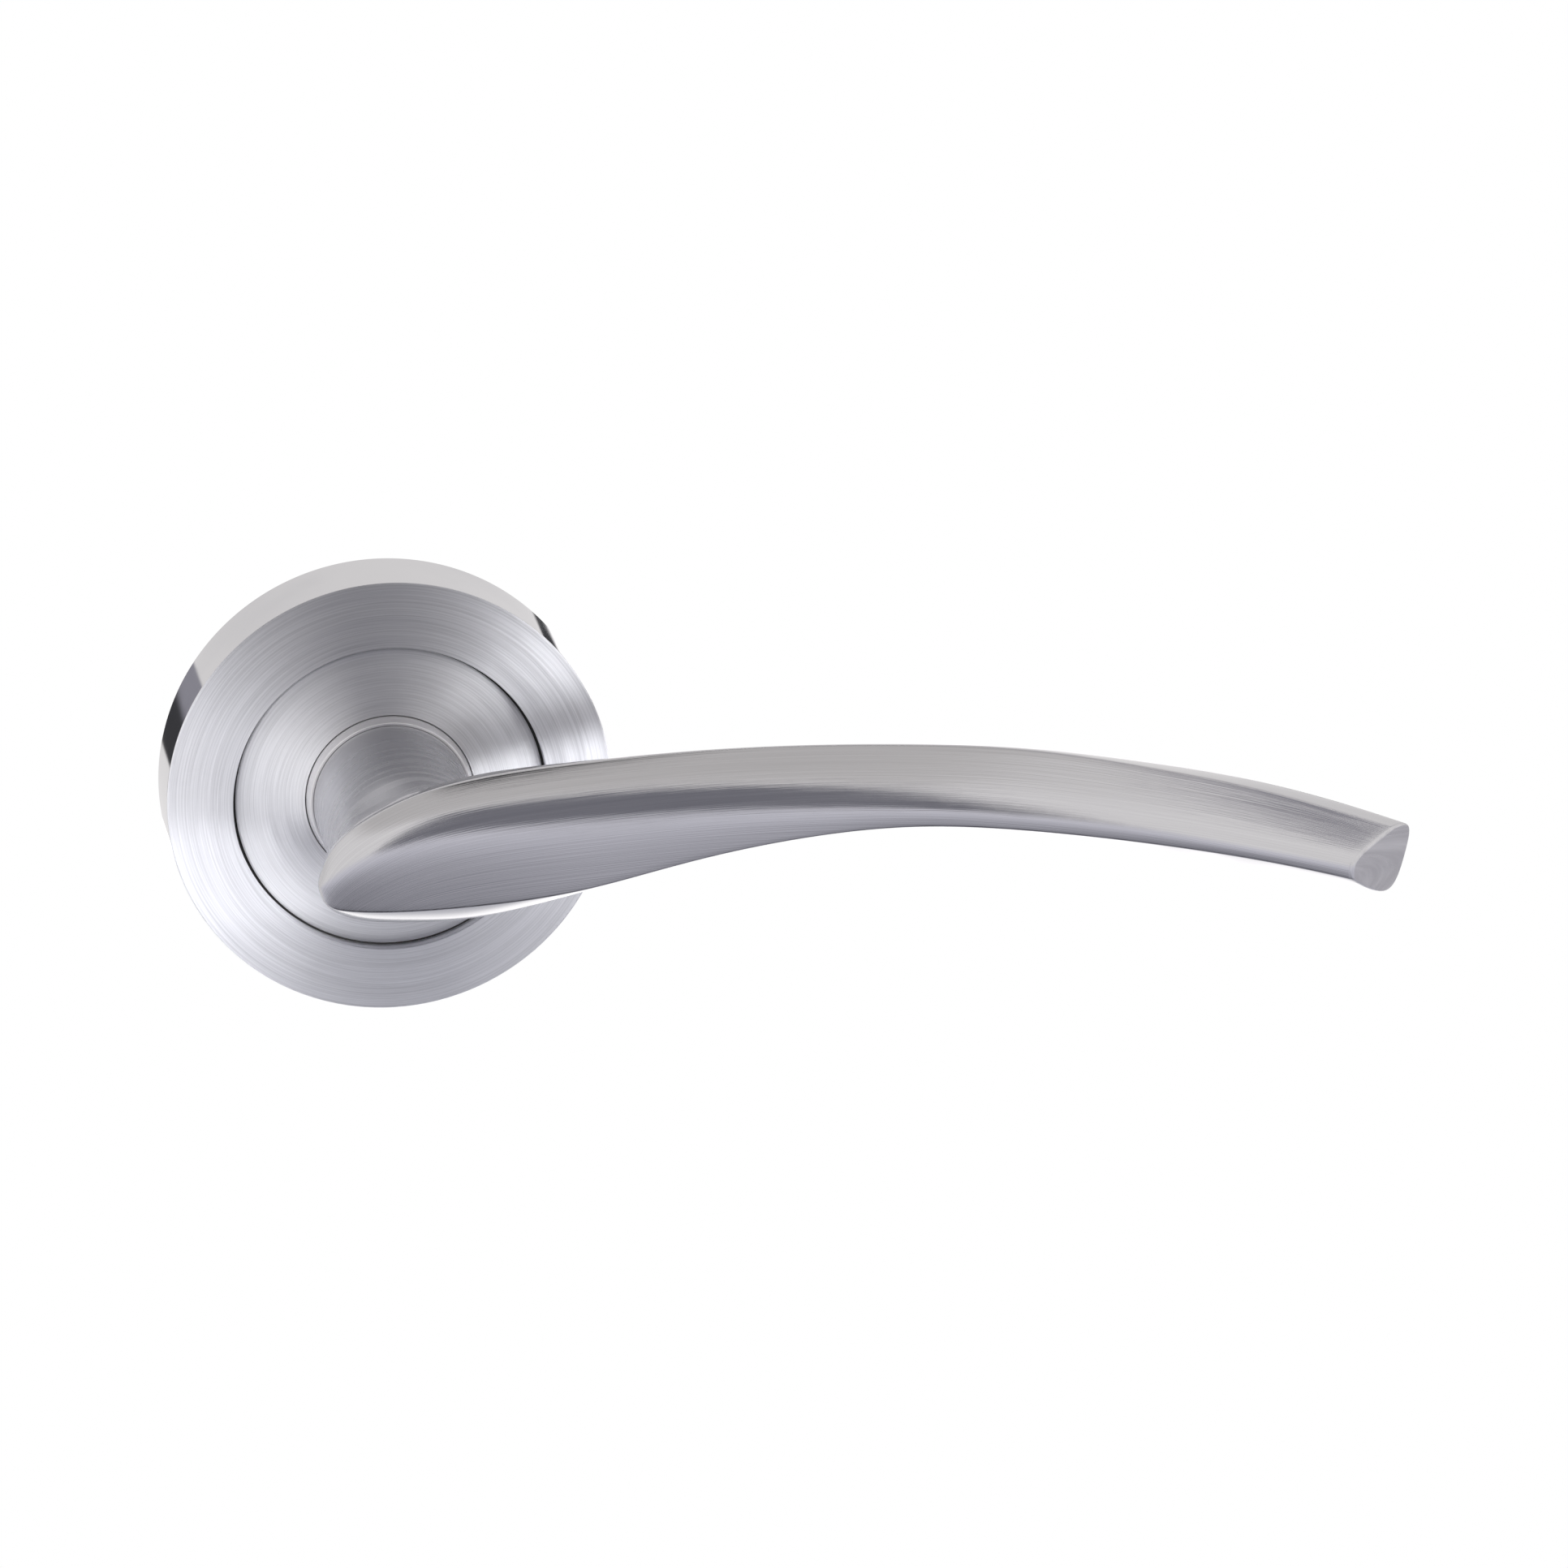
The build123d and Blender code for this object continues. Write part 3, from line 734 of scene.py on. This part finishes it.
def build_neck():
    """Neck and hub as one closed shell. Circles run out to the head, are drawn in a little
    at the upper left by a cosine squared so as to stay under its edge, and end inside the
    arm at a slanting cut. The shell then goes back over the shoulder, along the hub with
    its two flats and the clip groove, and into the square socket. A row is a radius and a
    y for every angle a, and a point is (radius cos a, y, radius sin a)."""
    turn = np.linspace(0, 2 * math.pi, ROSE_SIDES, endpoint=False)
    one = np.ones(ROSE_SIDES)
    cosine, sine = np.cos(turn), np.sin(turn)
    hub = np.minimum(HUB_R, HUB_FLATS / 2 / np.maximum(np.abs(sine), 0.1))
    grooved = np.minimum(hub, CLIP_GROOVE_R)
    square = SOCKET_ACROSS / 2 / np.maximum(np.abs(cosine), np.abs(sine))

    off_centre = np.clip((turn - PINCH_CENTRE) / PINCH_REACH, -1, 1)
    pinch = PINCH * np.cos(off_centre * math.pi / 2) ** 2

    def cut(radius, y):
        slope = NECK_UNDERSIDE_Y - (radius * sine + NECK_R) / NECK_SLOPE
        share = min(max((PINCH_FROM_Y - y) / (PINCH_FROM_Y - NECK_TOP_Y), 0), 1)
        waist = pinch * share**2 * (3 - 2 * share) * radius / NECK_R
        return radius * one - waist, np.maximum(y, slope)

    quarter = np.linspace(0, math.pi / 2, 7)
    round_r = NECK_R - NECK_END_ROUNDING * (1 - np.cos(quarter))
    round_y = NECK_TOP_Y + NECK_END_ROUNDING * (1 - np.sin(quarter))
    groove_low, groove_high = CLIP_GROOVE_Y
    rows = [cut(r, NECK_TOP_Y) for r in np.linspace(0.2, round_r[-1], 12)]
    rows += [cut(r, y) for r, y in zip(round_r[::-1][1:], round_y[::-1][1:])]
    rows += [cut(NECK_R, y) for y in np.linspace(round_y[0], SHOULDER_Y, 30)[1:]]
    rows += [
        (HUB_R * one, SHOULDER_Y * one),
        (HUB_R * one, FLATS_FROM_Y * one),
        (hub, FLATS_FROM_Y * one),
        (hub, groove_low * one),
        (grooved, groove_low * one),
        (grooved, groove_high * one),
        (hub, groove_high * one),
        (hub, HUB_END_Y * one),
        (square, HUB_END_Y * one),
        (square, SOCKET_BOTTOM_Y * one),
        (0.1 * square, SOCKET_BOTTOM_Y * one),
    ]
    radius, y = (np.array(part) for part in zip(*rows))
    points = np.stack([radius * cosine, y, radius * sine], -1).reshape(-1, 3)
    points = np.concatenate([points, [[0, NECK_TOP_Y, 0]], [[0, SOCKET_BOTTOM_Y, 0]]]) * MM
    return link_mesh("lever_neck", points, capped_tube(len(rows), ROSE_SIDES))


neck_chrome = satin_chrome(
    "neck_satin_chrome",
    turned_place,
    AROUND_Y,
    lines=6500.0,
    draw=55.0,
    dark=(0.56, 0.56, 0.585, 1),
    light=(0.63, 0.63, 0.655, 1),
    roughness=0.24,
    stretch=0.8,
)
lever_neck = build_neck()
lever_neck.data.materials.append(neck_chrome)


def drill_grub_hole(piece):
    """Takes a round hole out of the underside of the neck, from below through to the socket:
    the drill is a circle carried along Z."""
    turn = np.linspace(0, 2 * math.pi, DRILL_SIDES, endpoint=False)
    circle = np.stack([GRUB_HOLE_R * np.cos(turn), GRUB_Y + GRUB_HOLE_R * np.sin(turn)], -1)
    ends = (-NECK_R - 2, -SOCKET_ACROSS / 2 + 1)
    points = np.vstack([np.column_stack([circle, np.full(DRILL_SIDES, z)]) for z in ends]) * MM
    walls = quads(2, DRILL_SIDES, wrap_rows=False).tolist()
    low, high = list(range(DRILL_SIDES))[::-1], list(range(DRILL_SIDES, 2 * DRILL_SIDES))
    drill = link_mesh("drill", points, walls + [low, high])
    cut = piece.modifiers.new("hole", "BOOLEAN")
    cut.object = drill
    evaluated = piece.evaluated_get(bpy.context.evaluated_depsgraph_get())
    bored = bpy.data.meshes.new_from_object(evaluated)
    piece.modifiers.clear()
    bored.set_sharp_from_angle(angle=SHARP_FROM)
    piece.data = bored
    bpy.data.objects.remove(drill)


drill_grub_hole(lever_neck)
for piece in (lever_arm, lever_neck):
    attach(piece, "lever")
    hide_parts("lever_handle")

# ---------------------------------------------------------------- cast parts
# The mounting plate and the rotor: zinc die castings, left as cast, with a
# fine orange-peel skin.


def plain_metal(name, colour, roughness, grain, bump_height):
    """Unpolished metal: a mottled tone, an uneven sheen and a fine skin."""
    material, tree, shader = new_material(name)
    objects = node(tree, "ShaderNodeTexCoord").outputs["Object"]
    skin = noise(tree, objects, grain, 4.0)
    mottle = noise(tree, objects, 120.0, 3.0)
    darker = tuple(0.8 * c for c in colour) + (1,)
    tone = mix(tree, spread(tree, mottle, 0.3, 0.7), darker, (*colour, 1))
    tree.links.new(tone, shader.inputs["Base Color"])
    sheen = spread(tree, mottle, 0.3, 0.7, roughness - 0.06, roughness + 0.08)
    tree.links.new(sheen, shader.inputs["Roughness"])
    shader.inputs["Metallic"].default_value = 1.0
    raise_skin(tree, shader, skin, 0.5, bump_height)
    return material


def finish_nodes(material, *names):
    """Gives CAD nodes a material."""
    for name in names:
        nodes[name].data.materials.clear()
        nodes[name].data.materials.append(material)


zinc = plain_metal("zinc_as_cast", (0.56, 0.56, 0.575), 0.46, 2200.0, 0.00006)
finish_nodes(zinc, "mounting_plate", "drive_rotor")

# ---------------------------------------------------------------- steel parts
# Spindle, fixing posts, cassette lid, screws and washer are zinc-plated. The
# circlip, snap ring and stop pins are oiled spring steel, and the grub screw
# is black.
plated = plain_metal("bright_zinc_plate", (0.67, 0.675, 0.70), 0.27, 3200.0, 0.00002)
finish_nodes(
    plated, "spindle", "cassette_screws", "cassette_lid", "fixing_posts", "retaining_washer"
)
sprung = plain_metal("oiled_spring_steel", (0.36, 0.36, 0.37), 0.3, 4200.0, 0.00002)
finish_nodes(sprung, "circlip", "snap_ring", "stop_pins")
blackened = plain_metal("blackened_steel", (0.06, 0.06, 0.065), 0.42, 3600.0, 0.00003)
finish_nodes(blackened, "grub_screw")

# ---------------------------------------------------------------- return springs
# Two coils of oiled spring steel wire, one under each arm of the rotor, in
# pockets of the cassette. Pressing the lever shortens both towards their seats,
# by enough to stay clear of the arms all the way down. A real coil would stop
# at its solid length, about twice as long as these are at the limit.
SPRING_X = 11.0
SPRING_Y = -5.1
COIL_R = 1.55
WIRE_R = 0.35
COIL_TURNS = 6
STEPS_A_TURN = 48
WIRE_SIDES = 16
COIL_START_Z = 1.95
COIL_END_Z = 12.53


def coil(name, side):
    """A tube round a helix: its centre line is (R cos a, R sin a, start + rise a), and its
    section a circle spanned by the inward normal and the binormal. Both ends are closed."""
    whole_turn = 2 * math.pi * COIL_TURNS
    turn = np.linspace(0, whole_turn, STEPS_A_TURN * COIL_TURNS + 1)[:, None, None]
    section = np.linspace(0, 2 * math.pi, WIRE_SIDES, endpoint=False)[None, :, None]
    rise = (COIL_END_Z - COIL_START_Z) / whole_turn
    cosine, sine, flat = np.cos(turn), np.sin(turn), np.zeros_like(turn)
    centre = np.concatenate([COIL_R * cosine, COIL_R * sine, COIL_START_Z + rise * turn], -1)
    ahead = np.concatenate([-COIL_R * sine, COIL_R * cosine, flat + rise], -1)
    ahead /= math.hypot(COIL_R, rise)
    inward = np.concatenate([-cosine, -sine, flat], -1)
    binormal = np.cross(ahead, inward)
    tube = centre + WIRE_R * (np.cos(section) * inward + np.sin(section) * binormal)
    points = np.concatenate([tube.reshape(-1, 3), centre[0], centre[-1]])
    points = (points * [1, 1, -side] + [side * SPRING_X, SPRING_Y, 0]) * MM
    return link_mesh(name, points, capped_tube(*tube.shape[:2]))


for name, side in (("return_spring_right", 1), ("return_spring_left", -1)):
    spring = coil(name + "_coil", side)
    spring.data.materials.append(sprung)
    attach(spring, "rose")
    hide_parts(name)
    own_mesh(spring)

# ---------------------------------------------------------------- nylon parts
# Two bushes and a thrust washer of natural nylon carry the hub, and the spring
# cassette is black glass-filled nylon. Moulded, with a faint grain.


def nylon(name, colour):
    """Moulded nylon: nearly even, with a soft gloss and a faint grain."""
    material, tree, shader = new_material(name)
    objects = node(tree, "ShaderNodeTexCoord").outputs["Object"]
    grain = noise(tree, objects, 1800.0, 3.0)
    darker = tuple(0.93 * c for c in colour) + (1,)
    tree.links.new(mix(tree, grain, darker, (*colour, 1)), shader.inputs["Base Color"])
    tree.links.new(spread(tree, grain, 0.3, 0.7, 0.38, 0.5), shader.inputs["Roughness"])
    raise_skin(tree, shader, grain, 0.4, 0.00003)
    return material


finish_nodes(nylon("natural_nylon", (0.86, 0.85, 0.80)), "rear_bush", "front_bush", "thrust_washer")
finish_nodes(nylon("black_nylon", (0.03, 0.03, 0.033)), "cassette_body")

# ---------------------------------------------------------------- studio
# A plain floor far below the handle and a backdrop, both white straight behind
# it and pale grey elsewhere; a soft room that only its reflections show; and
# three soft boxes that light the rose alone.
FLOOR_Z = -0.8
FLOOR_HALF = 6.0
PALE_GREY = (0.64, 0.64, 0.655, 1)
WHITE = (1, 1, 1, 1)

floor_corners = [
    (x * FLOOR_HALF, y * FLOOR_HALF, FLOOR_Z) for x, y in ((-1, -1), (1, -1), (1, 1), (-1, 1))
]
floor_mesh = bpy.data.meshes.new("floor")
floor_mesh.from_pydata(floor_corners, [], [(0, 1, 2, 3)])
floor = bpy.data.objects.new("floor", floor_mesh)
bpy.context.scene.collection.objects.link(floor)


def sweep_tone(tree, x, y, far):
    """White straight behind the handle and pale grey at the sides and in front: y over the
    horizontal distance says how nearly a place lies straight behind."""
    straight = spread(tree, maths(tree, "DIVIDE", y, flat_length(tree, x, y)), 0.6, 0.86)
    return mix(tree, maths(tree, "MULTIPLY", straight, far), PALE_GREY, WHITE)


floor_white = bpy.data.materials.new("floor_white")
floor_white.use_nodes = True
tree = floor_white.node_tree
tree.nodes.clear()
x, y, z = split(tree, node(tree, "ShaderNodeTexCoord").outputs["Object"])
far = spread(tree, y, 0.1, 0.7)
glow = node(tree, "ShaderNodeEmission", {"Color": sweep_tone(tree, x, y, far)})
node(tree, "ShaderNodeOutputMaterial", {"Surface": glow.outputs[0]})
floor_mesh.materials.append(floor_white)
floor.visible_glossy = False
floor.visible_diffuse = False
floor.visible_shadow = False

DEEP_FLOOR = (0.28, 0.28, 0.32, 1)
FLOOR_EDGE = (0.80, 0.80, 0.88, 1)
WALL = (0.97, 0.955, 0.96, 1)
CEILING = (0.68, 0.665, 0.66, 1)
BACK_WALL = (0.84, 0.825, 0.83, 1)
BACK_TABLE = (1.35, 1.33, 1.35, 1)
SCREEN = (0.23, 0.23, 0.265, 1)
CORNER = (0.31, 0.305, 0.35, 1)
SIDE_WALL = (0.60, 0.59, 0.63, 1)
DARK = (0.05, 0.05, 0.055, 1)
# What stands round the room: bearings from and to, elevations from and to, and
# softness at the sides and top and at the foot, all in degrees; and its tone.
PATCHES = (
    (150, 190, -45, -8, 4, 4, BACK_TABLE),
    (90, 125, -50, -8, 4, 4, SIDE_WALL),
    (-11, 19, -28, 36, 1.5, 5, SCREEN),
    (61, 96, 33.5, 60, 0.6, 0.6, CORNER),
    (-162.5, -158.5, -12, -1, 0.4, 0.4, CORNER),
    (-167, -162, -17, -5, 0.4, 0.4, DARK),
    (158, 163, -13, -6, 0.4, 0.4, DARK),
)


def build_studio():
    """Light by direction: its elevation and its bearing, which is 0 straight out of the
    door and grows to the right, pick a tone. Each tone runs smoothly into the next."""
    world = bpy.data.worlds.new("studio")
    bpy.context.scene.world = world
    world.use_nodes = True
    tree = world.node_tree
    tree.nodes.clear()
    direction = node(tree, "ShaderNodeTexCoord").outputs["Generated"]
    x, y, z = split(tree, direction)
    elevation = maths(tree, "MULTIPLY", maths(tree, "ARCSINE", z), 180 / math.pi)
    outward = maths(tree, "MULTIPLY", y, -1)
    bearing = maths(tree, "MULTIPLY", maths(tree, "ARCTAN2", x, outward), 180 / math.pi)

    def patch(left, right, low, high, soft, foot):
        """A soft-edged rectangle of directions, with its own softness along the foot."""
        from_left = spread(tree, bearing, left - soft, left + soft)
        to_right = spread(tree, bearing, right - soft, right + soft, 1, 0)
        from_foot = spread(tree, elevation, low - foot, low + foot)
        to_top = spread(tree, elevation, high - soft, high + soft, 1, 0)
        sides = maths(tree, "MULTIPLY", from_left, to_right)
        return maths(tree, "MULTIPLY", sides, maths(tree, "MULTIPLY", from_foot, to_top))

    tone = mix(tree, spread(tree, elevation, -73, -36), DEEP_FLOOR, FLOOR_EDGE)
    tone = mix(tree, spread(tree, elevation, -40, -12), tone, WALL)
    tone = mix(tree, spread(tree, elevation, 32, 52), tone, CEILING)
    behind = spread(tree, maths(tree, "ABSOLUTE", bearing), 100, 125)
    above_floor = spread(tree, elevation, -60, -30)
    tone = mix(tree, maths(tree, "MULTIPLY", behind, above_floor), tone, BACK_WALL)
    for *edges, patch_tone in PATCHES:
        tone = mix(tree, patch(*edges), tone, patch_tone)
    tone = mix(tree, spread(tree, maths(tree, "ABSOLUTE", elevation), 76, 80), tone, DARK)
    backdrop = sweep_tone(tree, x, y, 1.0)
    lit = node(tree, "ShaderNodeBackground", {"Color": tone, "Strength": 1.0}).outputs[0]
    plain = node(tree, "ShaderNodeBackground", {"Color": backdrop, "Strength": 1.0}).outputs[0]
    seen = node(tree, "ShaderNodeLightPath").outputs["Is Camera Ray"]
    mixed = node(tree, "ShaderNodeMixShader", {0: seen, 1: lit, 2: plain}).outputs[0]
    node(tree, "ShaderNodeOutputWorld", {"Surface": mixed})


build_studio()


def side_box(name, bearing, elevation, wide, high, radiance):
    """A soft box one metre away that lights the rose alone; wide and high are in metres."""
    lamp = bpy.data.lights.new(name, "AREA")
    lamp.shape = "RECTANGLE"
    lamp.size, lamp.size_y = wide, high
    lamp.energy = radiance * math.pi * wide * high
    lamp.color = (0.97, 0.98, 1.0)
    box = bpy.data.objects.new(name, lamp)
    bpy.context.scene.collection.objects.link(box)
    bearing, elevation = math.radians(bearing), math.radians(elevation)
    box.location = (
        math.sin(bearing) * math.cos(elevation),
        -math.cos(bearing) * math.cos(elevation),
        math.sin(elevation),
    )
    box.rotation_euler = (math.pi / 2 - elevation, 0, bearing)
    box.light_linking.receiver_collection = rose_pieces


rose_pieces = bpy.data.collections.new("rose_pieces")
for piece in (rose_cover, rose_disc):
    rose_pieces.objects.link(piece)
side_box("right_box", bearing=42, elevation=-4, wide=0.8, high=0.46, radiance=5.6)
side_box("left_box", bearing=-34, elevation=-9, wide=0.8, high=0.75, radiance=1.75)
side_box("low_box", bearing=12, elevation=-48, wide=0.8, high=0.5, radiance=1.35)
bpy.context.scene.view_settings.view_transform = "Standard"
